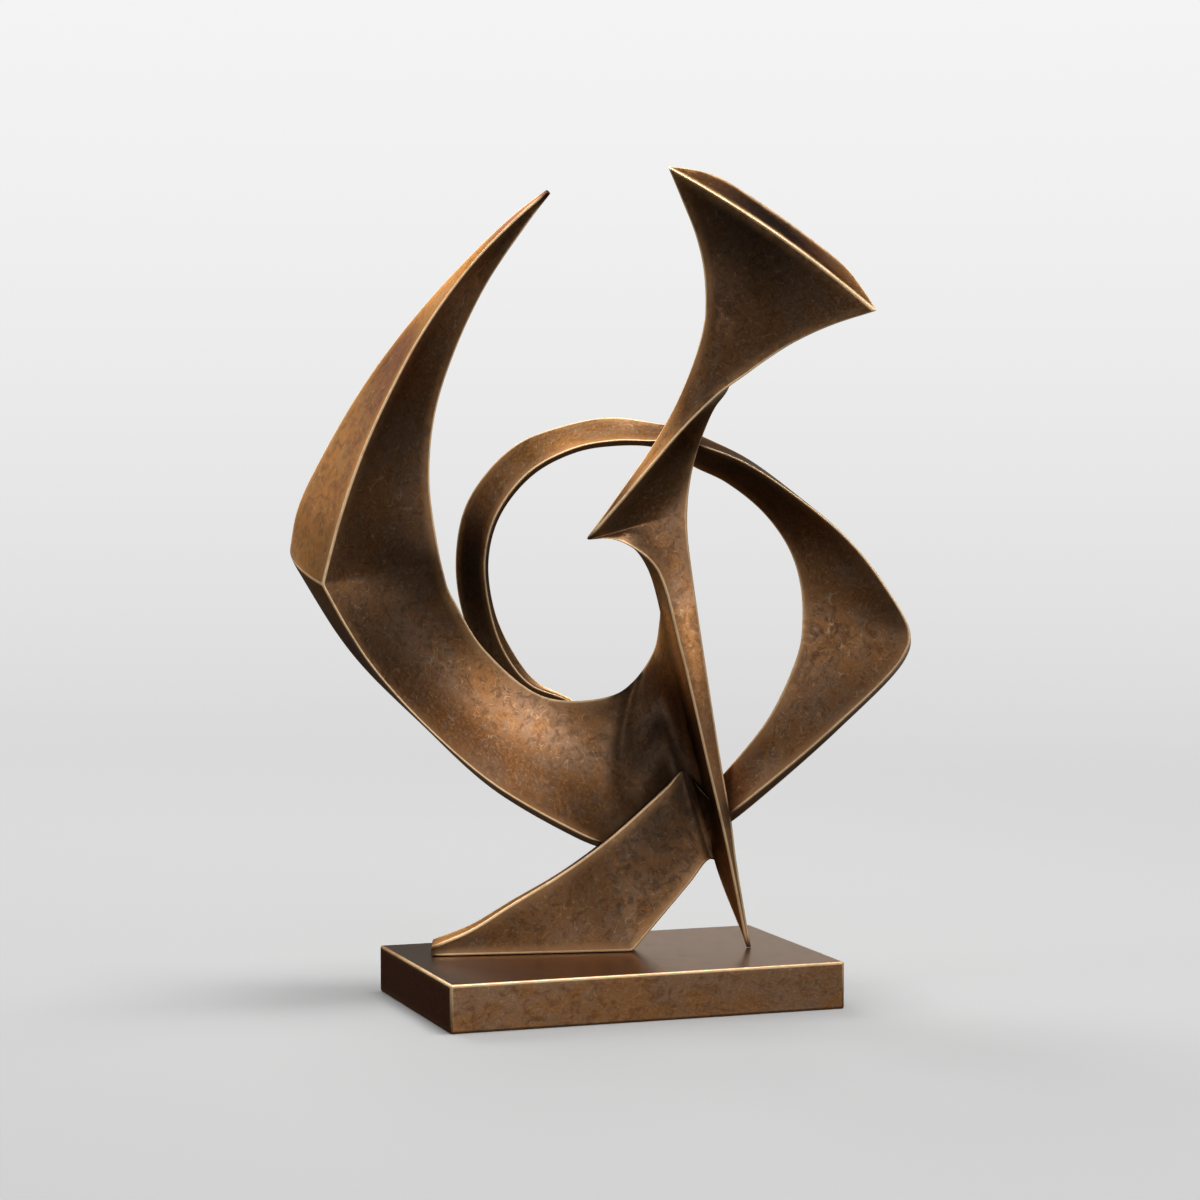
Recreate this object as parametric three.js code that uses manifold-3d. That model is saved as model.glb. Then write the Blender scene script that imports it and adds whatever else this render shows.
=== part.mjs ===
// A table bronze: an abstract form of sweeping, sharp-edged blades on a rectangular plinth.
// Millimetres, +Z up. The origin is the middle of the plinth's underside, +X runs along its long
// front edge and +Y to the back.
import * as THREE from "three";
import { mergeVertices } from "three/addons/utils/BufferGeometryUtils.js";
import Module from "manifold-3d";

// Driving dimensions.
const plinthLength = 217;
const plinthDepth = 133;
const plinthHeight = 25;
const plinthEdge = 0.8; // worn arris
const footClearance = 0.3; // between the casting's feet and the plinth
const faceTurn = -19.4; // degrees: the casting's main face is turned this far from the plinth's front
const coveDepth = 7; // hollow of the sweep's front face
const coveGrowth = 0.65; // of that hollow, from one station to the next, below the sharp tip
const elbowFullness = 3.3; // how far the sweep's outer face stands out at the elbow
const finThickness = 12;
const finTipRise = 2.5; // how far the fin's rear edge stands above its front edge at the low tip
const postThickness = 18;
const postTaper = 130; // height over which the post thins out to its foot
const postFoot = 5; // how far below the plinth's top that taper would come to nothing
const slicesPerStation = 3;

const footLevel = plinthHeight + footClearance;

// The casting has its own turned frame. A point is [across, depth, height]: across to the right of
// its main face, depth to the back, and height above the table. A body is a row of sections, and
// its rails are the corners of those sections, station by station, so all rails of a body are
// equally long.

// The large sweep: from the sharp tip down the outer edge of the horn to the elbow, and from there
// along the belly to the foot of the post.
const sweepElbow = 7;
const sweepCoveFrom = 14; // from here on the hollow turns up into the post
const sweepRails = {
  ridge: [
    [-33, 9, 431.5], [-48, 4, 418.5], [-72.5, -2, 393], [-97, -8, 359], [-115.5, -12, 325],
    [-130.5, -15, 291.5], [-142, -17, 258], [-151, -18, 223.5], [-138, -16, 199.5],
    [-126, -13, 180.5], [-100.5, -6, 150.5], [-61.5, 4, 115], [-18.5, 12, 89], [-4.5, 15, 82.5],
    [22.5, 20, 75], [44, 27, 71.5], [55.5, 27, 75.5], [64, 16, 74],
  ],
  inner: [
    [-31, 12, 431.5], [-43.5, 9, 413], [-64, 10, 383], [-80.5, 10, 349], [-92, 10, 313],
    [-95, 11, 277], [-90.5, 14, 241.5], [-88, 17, 229.5], [-85.5, 20, 220], [-82, 22, 213],
    [-67, 29, 187.5], [-34, 38, 160.5], [2, 43, 161], [13.5, 44, 168.5], [24.5, 40, 185.5],
    [27.5, 30, 203.5], [28, 17, 214], [31.5, 2, 219],
  ],
  back: [
    [-33, 12, 433], [-50.5, 12, 420.5], [-77, 15, 395.5], [-106, 19, 364], [-130.5, 23, 332],
    [-151.5, 27, 298], [-168.5, 30, 263.5], [-173.5, 31, 237.5], [-147, 33, 193.5],
    [-132.5, 34, 175], [-103.5, 37, 146], [-64, 41, 109], [-20, 44, 82.5], [-5, 45, 76],
    [23, 44, 69.5], [44.5, 42, 69.5], [56, 38, 74.5], [63.5, 30, 73.5],
  ],
  coveEnd: [[23, 32, 128.5], [37, 33, 135.5], [43, 15, 148], [49.5, 3, 152]],
};

// The fan and the post below it, which part at the sharp beak over the round opening.
const beak = 10;
const bladeRails = {
  left: [
    [30, -14, 443.5], [38, -9, 426], [45, -5, 409.5], [49.5, -2, 393], [51, 0, 376],
    [50.5, 1, 363.5], [46, 0, 345.5], [36, -1, 320.5], [23, -3, 297], [3, -9, 269],
    [-12, -9.5, 248], [0, -3, 248], [11.5, 3, 243.5], [20.5, 8, 231], [32, 16, 187],
    [48, 22, 121.5], [54, 24, 90.5], [57, 23, 71], [74.5, 19.5, footLevel],
  ],
  front: [
    [142, -14, 366.5], [117, -12, 359], [98, -10, 350.5], [84, -9, 342], [72, -10, 333.5],
    [59.5, -12, 325], [50, -13, 316.5], [37.5, -14, 304], [21.5, -14, 285.5], [5, -12.5, 266],
    [-11.5, -10, 247], [1, -10, 247.5], [11.5, -10, 243.5], [25, -9.5, 232], [38, -6, 189.5],
    [53.5, 3, 124.5], [61, 8, 93.5], [65.5, 11, 74], [75.5, 18.5, footLevel],
  ],
  right: [
    [125, 10, 392], [106.5, 12, 374.5], [89, 13, 363], [76.5, 13, 352], [69, 12, 341.5],
    [63.5, 8, 326], [57, 7, 317], [51.5, 6, 305], [46, 5, 288.5], [43, 4, 273], [42, 3, 261.5],
    [42, 2.5, 253], [42.5, 2.5, 246], [44, 2, 233.5], [50.5, 2, 189], [61, 8.5, 124],
    [66.5, 12, 93], [69, 14, 73.5], [77, 19.5, footLevel],
  ],
  fanRear: [
    [60.5, 11, 438], [57.5, 15, 414], [60.5, 16, 391.5], [57.5, 16, 374.5], [55.5, 17, 361.5],
    [55.5, 17, 345.5], [52, 18, 329], [46, 19, 313], [41, 20, 294.5], [38.5, 20, 275.5],
  ],
};

// The ring, which starts and ends behind the sweep. Its right half spreads into a crescent.
const ringRails = {
  front: [
    [9, 42, 135], [-21, 44.5, 157], [-43, 41, 166.5], [-56.5, 37, 184], [-64, 33, 207.5],
    [-66.5, 29, 235], [-60.5, 26, 258.5], [-42.5, 23, 282], [-18, 20, 295], [3.5, 17, 299],
    [23, 14, 299], [38, 11, 299.5], [50.5, 8, 296.5], [72.5, 4, 288], [100, 0, 270],
    [128, -3, 246.5], [147, -5, 222.5], [160.5, -5, 197], [157, -4.5, 184.5], [120.5, 1, 146],
    [71, 10, 103], [61, 12, 95.5],
  ],
  outer: [
    [7.5, 46, 127.5], [-25.5, 58, 147.5], [-51, 60, 156], [-67, 58, 174], [-80, 54, 200.5],
    [-84.5, 50, 234], [-77.5, 47, 267], [-52.5, 44, 296.5], [-23, 41, 308.5], [2, 38, 312.5],
    [25, 35, 309.5], [42, 33, 306], [53, 32, 301], [75.5, 31, 291], [103.5, 30, 272.5],
    [131.5, 28, 247], [151.5, 26, 220.5], [164.5, 25, 193.5], [161, 25, 181], [124.5, 27, 142.5],
    [74, 29, 97.5], [62.5, 27, 89],
  ],
  inner: [
    [9.5, 44, 138.5], [-21.5, 49, 159], [-39.5, 49, 168], [-53, 47, 186], [-62, 45, 207],
    [-65, 42, 234.5], [-58.5, 40, 258.5], [-40.5, 38, 280.5], [-17.5, 36, 292.5], [3.5, 33, 296],
    [23.5, 31, 295.5], [36, 29, 291], [46, 27, 284.5], [62.5, 25, 276.5], [82.5, 22, 260.5],
    [96.5, 20, 240.5], [102.5, 18, 220], [103, 17, 197.5], [101, 17, 185.5], [86, 18, 151.5],
    [62.5, 21.5, 121], [56, 21, 113.5],
  ],
};

// The fin leans from the plinth's left end against the post. Its foot is a straight line along
// the plinth as far as the heel corner, and then the lower edge rises to the post.
const heelCorner = 4;
const finFoot = { from: [-95, -12], to: [13, 4.5] };
const finRails = {
  ridge: [
    [-94.5, -10, 30], [-74, -7, 38.5], [-52.5, -2.5, 51.5], [-26, 4, 67], [-0.5, 10, 85],
    [31.5, 21.5, 112.5], [41, 25, 121.5], [49, 19, 112], [55, 13.5, 106],
  ],
  underside: [[44, 19, 60], [55, 23, 72.5], [60, 21, 70.5], [65, 17, 67.5]],
};

function toVectors(points) {
  return points.map((point) => new THREE.Vector3(...point));
}

// A smooth curve through the points of a rail, broken at a corner where there is one. Its
// parameter is the station number.
function rail(vectors, corner = 0) {
  const last = vectors.length - 1;
  const spline = (from, to) => new THREE.CatmullRomCurve3(vectors.slice(from, to + 1));
  const before = corner ? spline(0, corner) : null;
  const after = spline(corner, last);
  return (station) =>
    station < corner
      ? before.getPoint(station / corner)
      : after.getPoint((station - corner) / (last - corner));
}

function middleOf(points) {
  return points.reduce((sum, point) => sum.add(point), new THREE.Vector3()).divideScalar(points.length);
}

// The middle of a section's side, moved by the bow towards the section's own middle, so that a
// hollow face has a positive bow and a full one a negative bow.
function bowed(start, end, sectionMiddle, bow) {
  const middle = middleOf([start, end]);
  const inward = sectionMiddle.clone().sub(middle);
  inward.projectOnPlane(end.clone().sub(start).normalize());
  return middle.addScaledVector(inward.normalize(), bow);
}

// Points along one side of a section, on the parabola through its middle. The end is left out,
// because the next side starts with it.
function sidePoints(start, middle, end, parts) {
  const bulge = middle.clone().sub(middleOf([start, end]));
  const points = [];
  for (let i = 0; i < parts; i += 1) {
    const share = i / parts;
    points.push(start.clone().lerp(end, share).addScaledVector(bulge, 4 * share * (1 - share)));
  }
  return points;
}

// One closed section. Each side gives its parts and either its middle or its bow.
function section(corners, sides) {
  const sectionMiddle = middleOf(corners);
  return corners.flatMap((start, i) => {
    const end = corners[(i + 1) % corners.length];
    const { parts, bow, middle } = sides[i];
    return sidePoints(start, middle ?? bowed(start, end, sectionMiddle, bow), end, parts);
  });
}

// A closed body over a row of equal sections: quads between neighbours, each split along its
// shorter diagonal, and each end zipped shut from its first point.
function loft(sections) {
  const count = sections[0].length;
  const index = [];
  const vertices = sections.flat();
  const span = (a, b) => vertices[a].distanceToSquared(vertices[b]);
  const quad = (a, b, c, d) =>
    span(a, c) < span(b, d) ? index.push(a, b, c, a, c, d) : index.push(a, b, d, b, c, d);
  for (let i = 0; i + 1 < sections.length; i += 1) {
    for (let j = 0; j < count; j += 1) {
      const next = (j + 1) % count;
      quad(i * count + j, i * count + next, (i + 1) * count + next, (i + 1) * count + j);
    }
  }
  const cap = (base, turned) => {
    for (let low = 0, high = count - 1; low < high - 1; low += 1, high -= 1) {
      const corners = [base + low, base + high, base + high - 1, base + low + 1];
      quad(...(turned ? corners.reverse() : corners));
    }
  };
  cap(0, false);
  cap((sections.length - 1) * count, true);
  const positions = vertices.flatMap((point) => point.toArray());
  const geometry = new THREE.BufferGeometry();
  geometry.setAttribute("position", new THREE.Float32BufferAttribute(positions, 3));
  geometry.setIndex(index);
  return geometry;
}

// Lofts a body from its rails. From the station denseFrom on, its slices are three times as close.
function loftAlong(rails, sidesAt, lastStation, denseFrom = lastStation) {
  const sections = [];
  let station = 0;
  while (station < lastStation + 1e-6) {
    const corners = rails.map((curve) => curve(Math.min(station, lastStation)));
    sections.push(section(corners, sidesAt(station)));
    station += (station < denseFrom - 1e-6 ? 1 : 1 / 3) / slicesPerStation;
  }
  return loft(sections);
}

function sweep() {
  const ridge = toVectors(sweepRails.ridge);
  const inner = toVectors(sweepRails.inner);
  const back = toVectors(sweepRails.back);
  const coveStart = ridge.slice(0, sweepCoveFrom).map((start, i) => {
    const sectionMiddle = middleOf([start, inner[i], back[i]]);
    return bowed(start, inner[i], sectionMiddle, Math.min(coveDepth, i * coveGrowth));
  });
  const cove = rail([...coveStart, ...toVectors(sweepRails.coveEnd)]);
  return loftAlong(
    [rail(ridge, sweepElbow), rail(inner), rail(back, sweepElbow)],
    (station) => {
      const fullness = Math.min(1, station / 4);
      const nearElbow = Math.max(0, 1 - Math.abs(station - sweepElbow) / 1.5);
      return [
        { parts: 12, middle: cove(station) },
        { parts: 2, bow: 1.5 * fullness },
        { parts: 4, bow: 0.6 * fullness - elbowFullness * nearElbow },
      ];
    },
    ridge.length - 1,
    sweepCoveFrom - 1,
  );
}

const fanFullness = { left: -1.9, right: -3.1, rear: -2.4 }; // bows of the fan's upper faces
const fanHollow = 3; // of the fan's dark front face
const fanEdgeBulge = new THREE.Vector3(2.2, 0, 3.1); // the fan's front edge, against a straight one

function postRear(point) {
  const share = Math.min(1, (point.z - plinthHeight + postFoot) / postTaper);
  const depth = postThickness * Math.sin((share * Math.PI) / 2);
  return point.clone().add(new THREE.Vector3(-depth / 6, depth, -depth / 8));
}

function fanAndPost() {
  const left = toVectors(bladeRails.left);
  const front = toVectors(bladeRails.front);
  const right = toVectors(bladeRails.right);
  const rear = [...toVectors(bladeRails.fanRear), ...right.slice(beak).map(postRear)];
  const [leftRail, frontRail] = [rail(left, beak), rail(front, beak)];
  return loftAlong(
    [leftRail, frontRail, rail(right), rail(rear)],
    (station) => {
      const fan = Math.max(0, 1 - station / 4);
      const hollow = fanHollow * Math.min(1, station) * Math.max(0, 1 - station / (beak - 1));
      const edge = [leftRail(station), frontRail(station)];
      const faceMiddle = bowed(...edge, middleOf([...edge, right[0]]), hollow);
      faceMiddle.addScaledVector(fanEdgeBulge, Math.max(0, 1 - station));
      return [
        { parts: 8, middle: faceMiddle },
        { parts: 4, bow: fanFullness.left * fan + 0.5 },
        { parts: 4, bow: fanFullness.right * fan - 0.3 },
        { parts: 4, bow: fanFullness.rear * fan },
      ];
    },
    front.length - 1,
  );
}

function ring() {
  const { front, outer, inner } = ringRails;
  return loftAlong(
    [front, outer, inner].map((points) => rail(toVectors(points))),
    () => [
      { parts: 3, bow: 0.3 },
      { parts: 3, bow: 0.5 },
      { parts: 4, bow: 1 },
    ],
    front.length - 1,
  );
}

function fin() {
  const ridge = toVectors(finRails.ridge);
  const [footStart, footEnd] = toVectors([
    [...finFoot.from, footLevel],
    [...finFoot.to, footLevel],
  ]);
  const foot = [];
  for (let i = 0; i <= heelCorner; i += 1) foot.push(footStart.clone().lerp(footEnd, i / heelCorner));
  const underside = [...foot, ...toVectors(finRails.underside)];
  const behind = (points, across, rise) =>
    points.map((point, i) => {
      const shift = new THREE.Vector3(across, finThickness, rise * Math.max(0, 1 - i / 3));
      return point.clone().add(shift);
    });
  return loftAlong(
    [
      rail(ridge),
      rail(behind(ridge, 0, finTipRise)),
      rail(behind(underside, 1, 0), heelCorner),
      rail(underside, heelCorner),
    ],
    () => [
      { parts: 2, bow: 0 },
      { parts: 4, bow: 0 },
      { parts: 2, bow: 0 },
      { parts: 4, bow: 0.8 },
    ],
    ridge.length - 1,
  );
}

const wasm = await Module();
wasm.setup();

function toSolid(source) {
  const merged = mergeVertices(source, 1e-3);
  const triangles = [];
  const ids = merged.index.array;
  for (let i = 0; i < ids.length; i += 3) {
    const [a, b, c] = [ids[i], ids[i + 1], ids[i + 2]];
    if (a !== b && b !== c && c !== a) triangles.push(a, b, c);
  }
  const build = (triVerts) =>
    new wasm.Manifold(
      new wasm.Mesh({
        numProp: 3,
        vertProperties: merged.attributes.position.array,
        triVerts: new Uint32Array(triVerts),
      }),
    );
  const made = build(triangles);
  return made.volume() < 0 ? build(triangles.reverse()) : made;
}

// The bodies of the casting, joined into one.
function joined(geometries) {
  const whole = geometries.map(toSolid).reduce((sum, solid) => sum.add(solid));
  const { numProp, vertProperties, triVerts } = whole.getMesh();
  const positions = new Float32Array((vertProperties.length / numProp) * 3);
  for (let i = 0; i * numProp < vertProperties.length; i += 1) {
    positions.set(vertProperties.subarray(i * numProp, i * numProp + 3), i * 3);
  }
  const geometry = new THREE.BufferGeometry();
  geometry.setAttribute("position", new THREE.BufferAttribute(positions, 3));
  geometry.setIndex(new THREE.BufferAttribute(triVerts, 1));
  geometry.computeVertexNormals();
  return geometry;
}

function plinthBlock() {
  const [x, y] = [plinthLength / 2 - plinthEdge, plinthDepth / 2 - plinthEdge];
  const outline = new THREE.Shape([
    new THREE.Vector2(-x, -y),
    new THREE.Vector2(x, -y),
    new THREE.Vector2(x, y),
    new THREE.Vector2(-x, y),
  ]);
  const block = new THREE.ExtrudeGeometry(outline, {
    depth: plinthHeight - 2 * plinthEdge,
    bevelThickness: plinthEdge,
    bevelSize: plinthEdge,
    bevelSegments: 1,
  });
  return block.translate(0, 0, plinthEdge);
}

const patinatedBronze = { color: 0x6b4a32, roughness: 0.42, metalness: 0.9 };

const sculpture = new THREE.Mesh(
  joined([sweep(), fanAndPost(), ring(), fin()]),
  new THREE.MeshStandardMaterial(patinatedBronze),
);
sculpture.name = "sculpture";

const turned = new THREE.Group();
turned.rotation.z = THREE.MathUtils.degToRad(faceTurn);
turned.add(sculpture);

const plinth = new THREE.Mesh(
  plinthBlock(),
  new THREE.MeshStandardMaterial({ ...patinatedBronze, roughness: 0.3 }),
);
plinth.name = "plinth";

const work = new THREE.Group();
work.add(turned, plinth);

export default work;
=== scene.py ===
import math

import bmesh
import bpy
from mathutils import Matrix, Vector
from mathutils.kdtree import KDTree


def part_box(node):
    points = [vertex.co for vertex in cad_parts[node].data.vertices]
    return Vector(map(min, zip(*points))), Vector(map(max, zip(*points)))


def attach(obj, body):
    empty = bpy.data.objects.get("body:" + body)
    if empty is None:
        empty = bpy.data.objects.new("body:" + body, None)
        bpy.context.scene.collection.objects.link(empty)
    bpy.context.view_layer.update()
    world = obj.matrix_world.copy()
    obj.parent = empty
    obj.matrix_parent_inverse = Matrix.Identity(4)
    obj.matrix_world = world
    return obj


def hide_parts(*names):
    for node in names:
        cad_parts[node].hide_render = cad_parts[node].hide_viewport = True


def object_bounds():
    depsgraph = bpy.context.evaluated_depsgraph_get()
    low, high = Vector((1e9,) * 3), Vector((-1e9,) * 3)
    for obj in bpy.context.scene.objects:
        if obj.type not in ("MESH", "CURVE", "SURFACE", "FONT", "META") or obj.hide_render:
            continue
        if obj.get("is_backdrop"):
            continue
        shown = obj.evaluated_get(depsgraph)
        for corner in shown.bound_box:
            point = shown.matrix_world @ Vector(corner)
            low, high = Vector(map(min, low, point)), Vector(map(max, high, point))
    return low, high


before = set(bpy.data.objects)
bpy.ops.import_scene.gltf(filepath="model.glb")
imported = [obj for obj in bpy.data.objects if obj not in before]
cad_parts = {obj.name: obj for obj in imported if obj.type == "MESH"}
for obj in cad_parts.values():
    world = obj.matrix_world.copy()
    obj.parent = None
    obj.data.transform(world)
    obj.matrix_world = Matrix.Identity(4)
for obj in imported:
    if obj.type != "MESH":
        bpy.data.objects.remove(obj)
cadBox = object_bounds()
mm = 0.001

# The casting's own frame, in millimetres: across to the right of its main face, depth to the back,
# height above the table. A blade is lofted along rails, and a station is the number of a rail's point.
casting = {
    "turn": -19.4,  # degrees, against the plinth's front
    "plinthLevel": 25,
    "footLevel": 25.3,
    "step": 2.6,  # length of one mesh row along a blade
    "creaseRows": 5,  # extra rows on each side of a crease
    "creaseStep": 0.012,  # and their spacing, in stations
    "creaseReach": 0.1,
    "edgeSoftness": 1.2,  # how far a worn edge is rounded back from its corner
    "edgeParts": 10,
    "mostTrim": 0.3,  # the most that a rounding takes of a side
    "leastWeight": 0.15,  # keeps the arc round a needle-sharp corner open
    "rimRadius": 0.9,  # round of the edge at a blade's free end
    "rimRows": 4,
    "capRows": 7,
}


def splinePoint(points, place):  # centripetal Catmull-Rom, place is the station
    last = len(points) - 1
    i = min(int(place), last - 1)
    share = place - i
    here, there = points[i], points[i + 1]
    before = points[i - 1] if i > 0 else 2 * here - there
    beyond = points[i + 2] if i + 2 <= last else 2 * there - here
    gapA, gapB, gapC = (
        max((b - a).length, 1e-6) ** 0.5 for a, b in ((before, here), (here, there), (there, beyond))
    )
    leave = gapB * ((here - before) / gapA - (there - before) / (gapA + gapB) + (there - here) / gapB)
    reach = gapB * ((there - here) / gapB - (beyond - here) / (gapB + gapC) + (beyond - there) / gapC)
    return (
        here
        + share * leave
        + share**2 * (3 * (there - here) - 2 * leave - reach)
        + share**3 * (2 * (here - there) + leave + reach)
    )


def makeRail(points, corner=0, soften=0.06):  # a curve by station, its corner slightly rounded
    points = [Vector(p) for p in points]

    def sharp(place):
        if corner and place < corner:
            return splinePoint(points[: corner + 1], place)
        return splinePoint(points[corner:], place - corner)

    def rail(place):
        if not corner or abs(place - corner) >= soften:
            return sharp(place)
        share = (place - corner + soften) / (2 * soften)
        start, end = sharp(corner - soften), sharp(corner + soften)
        return start * (1 - share) ** 2 + points[corner] * 2 * share * (1 - share) + end * share**2

    return rail


def middleOf(points):
    return sum(points, Vector()) / len(points)


def bowed(start, end, sectionMiddle, bow):  # the middle of a side, moved in for a hollow face
    middle = (start + end) / 2
    along = (end - start).normalized()
    inward = sectionMiddle - middle
    inward -= along * inward.dot(along)
    return middle + inward.normalized() * bow


def graded(share, crowding=0.86):  # evenly spread shares, drawn together near both ends
    return share - crowding * math.sin(2 * math.pi * share) / (2 * math.pi)


def rounded(arrive, corner, leave):  # an arc from one side to the next, as evenly turned points
    toCorner, fromCorner = (corner - arrive).normalized(), (leave - corner).normalized()
    weight = max(casting["leastWeight"], math.cos(toCorner.angle(fromCorner, 0) / 2))
    points = []
    for k in range(casting["edgeParts"] + 1):
        share = k / casting["edgeParts"]
        near, mid, far = (1 - share) ** 2, 2 * weight * share * (1 - share), share**2
        points.append((arrive * near + corner * mid + leave * far) / (near + mid + far))
    return points


def sectionLoop(corners, middles, parts, softness=None):  # one closed section with rounded corners
    count = len(corners)
    softness = softness or [casting["edgeSoftness"]] * count
    sides = []
    for i, start in enumerate(corners):
        end = corners[(i + 1) % count]
        length = max((end - start).length, 1e-6)
        ends = (softness[i], softness[(i + 1) % count])
        trims = [min(casting["mostTrim"], soft / length) for soft in ends]
        sides.append((start, end, 4 * middles[i] - 2 * (start + end), *trims))

    def onSide(i, share):
        start, end, bulge = sides[i][:3]
        return start.lerp(end, share) + bulge * share * (1 - share)

    loop = []
    for i, corner in enumerate(corners):
        trimBefore, trimAfter = sides[i - 1][4], sides[i][3]
        pulled = corner + sides[i - 1][2] * trimBefore**2 + sides[i][2] * trimAfter**2
        loop += rounded(onSide(i - 1, 1 - trimBefore), pulled, onSide(i, trimAfter))
        for k in range(1, parts[i]):
            inside = 1 - trimAfter - sides[i][4]
            loop.append(onSide(i, trimAfter + inside * graded(k / parts[i])))
    return loop


def shrunk(loop, amount):  # a section drawn in along its own plane
    normal = Vector()
    for i, point in enumerate(loop):
        normal += loop[i - 1].cross(point)
    normal.normalize()
    drawn = []
    for i, point in enumerate(loop):
        along = (loop[(i + 1) % len(loop)] - loop[i - 1]).normalized()
        drawn.append(point + normal.cross(along) * amount)
    return drawn


def placesAlong(rails, last, creases):  # even steps along the blade, closer at a crease
    places = []
    for i in range(last):
        length = max((rail(i + 1) - rail(i)).length for rail in rails)
        steps = max(2, math.ceil(length / casting["step"]))
        places += [i + k / steps for k in range(steps)]
    places.append(last)
    rows, step, reach = casting["creaseRows"], casting["creaseStep"], casting["creaseReach"]
    for crease in creases:
        places = [place for place in places if abs(place - crease) > reach]
        places += [crease + k * step for k in range(-rows, rows + 1)] + [crease - reach, crease + reach]
    return sorted(places)


edgeLines = []  # the worn edges, as rows of points


def withRim(rails, sectionAt, places, loops):  # round the rim of the free end
    radius, rows = casting["rimRadius"], casting["rimRows"]
    reach = max((rail(1) - rail(0)).length for rail in rails)
    rim = []
    for k in range(rows):
        turn = math.pi / 2 * (1 - k / rows)
        depth = radius * (1 - math.sin(turn))
        rim.append(shrunk(sectionAt(depth / reach), radius * (1 - math.cos(turn))))
    edgeLines.append(rim[rows // 2] + rim[rows // 2][:1])
    return rim + [loop for place, loop in zip(places, loops) if place * reach >= radius]


def addPiece(name, bm):
    mesh = bpy.data.meshes.new(name)
    bm.to_mesh(mesh)
    bm.free()
    piece = bpy.data.objects.new(name, mesh)
    bpy.context.scene.collection.objects.link(piece)
    print(name, len(mesh.polygons), "faces")
    return piece


def capEnd(bm, verts):  # zip an end shut from its first point, and give its rungs
    low, high = 0, len(verts) - 1
    faces = [bm.faces.new((verts[low], verts[low + 1], verts[high]))]
    low += 1
    while high - low > 2:
        faces.append(bm.faces.new((verts[low], verts[low + 1], verts[high - 1], verts[high])))
        low, high = low + 1, high - 1
    if high - low == 2:
        faces.append(bm.faces.new(verts[low : high + 1]))
    inside = [e for f in faces for e in f.edges if all(g in faces for g in e.link_faces)]
    return list(dict.fromkeys(inside))


def skinned(name, loops):  # the first section extruded into the place of each next one
    bm = bmesh.new()
    verts = firstVerts = [bm.verts.new(point) for point in loops[0]]
    edges = [bm.edges.new((verts[i - 1], verts[i])) for i in range(len(verts))]
    for loop in loops[1:]:
        made = bmesh.ops.extrude_edge_only(bm, edges=edges)["geom"]
        edges = [e for e in made if isinstance(e, bmesh.types.BMEdge)]
        new = {v for v in made if isinstance(v, bmesh.types.BMVert)}
        follow = []
        for old in verts:
            follow.append(next(e.other_vert(old) for e in old.link_edges if e.other_vert(old) in new))
        verts = follow
        for vert, point in zip(verts, loop):
            vert.co = point
    rungs = capEnd(bm, firstVerts) + capEnd(bm, verts)
    bmesh.ops.subdivide_edges(bm, edges=rungs, cuts=casting["capRows"], use_grid_fill=True)
    bmesh.ops.recalc_face_normals(bm, faces=bm.faces)
    return addPiece(name, bm)


def loftBlade(name, rails, parts, sectionAt, last, creases=(), openEnd=False, edgeFrom=(0, 0, 0, 0)):
    places = placesAlong(rails, last, creases)
    loops = [sectionAt(place) for place in places]
    start = casting["edgeParts"] // 2
    for count, first in zip(parts, edgeFrom):  # the middle of each rounded corner
        edgeLines.append([loop[start] for loop, place in zip(loops, places) if place >= first])
        start += casting["edgeParts"] + count
    if openEnd:
        loops = withRim(rails, sectionAt, places, loops)
    return skinned(name, loops)


sweep = {
    "elbow": 7,  # station of the crease
    "elbowReach": 1.5,  # how far its fullness spreads, in stations
    "elbowFullness": 3.3,
    "backSoftness": 0.16,  # how far the crease of the back edge is rounded, in stations
    "fullFrom": 4,  # station where the faces reach their full bow
    "rearBow": 1.5,  # hollow of the face between the inner and back edges
    "outerBow": 0.6,
    "coveDepth": 7,
    "coveGrowth": 0.65,  # depth that the cove gains at each station
    "parts": (30, 10, 14),  # mesh columns across each face, on every blade
    "ridge": [
        (-33.5, 8.5, 431), (-48, 4, 418.5), (-72.5, -2, 393), (-97, -8, 359), (-115.5, -12, 325),
        (-130.5, -15, 291.5), (-142, -17, 258), (-151, -18, 223.5), (-138, -16, 199.5),
        (-126, -13, 180.5), (-100.5, -6, 150.5), (-61.5, 4, 115), (-18.5, 12, 89), (-4.5, 15, 82.5),
        (22.5, 20, 75), (44, 27, 71.5), (55.5, 27, 75.5), (64, 16, 74),
    ],
    "inner": [
        (-30.4, 12.2, 431), (-43.5, 9, 413), (-64, 10, 383), (-80.5, 10, 349), (-92, 10, 313),
        (-95, 11, 277), (-90.5, 14, 241.5), (-88, 17, 229.5), (-85.5, 20, 220), (-82, 22, 213),
        (-67, 29, 187.5), (-34, 38, 160.5), (2, 43, 161), (13.5, 44, 168.5), (24.5, 40, 185.5),
        (27.5, 30, 203.5), (28, 17, 214), (31.5, 2, 219),
    ],
    "back": [
        (-33, 12.5, 433.6), (-50.5, 12, 420.5), (-77, 15, 395.5), (-106, 19, 364), (-130.5, 23, 332),
        (-151.5, 27, 298), (-168.5, 30, 263.5), (-173.5, 31, 237.5), (-147, 33, 193.5),
        (-132.5, 34, 175), (-103.5, 37, 146), (-64, 41, 109), (-20, 44, 82.5), (-5, 45, 76),
        (23, 44, 69.5), (44.5, 42, 69.5), (56, 38, 74.5), (63.5, 30, 73.5),
    ],
    "coveEnd": [(22, 31, 128.5), (35, 27.5, 136), (44, 17, 147), (49.5, 3, 152)],
}


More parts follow.
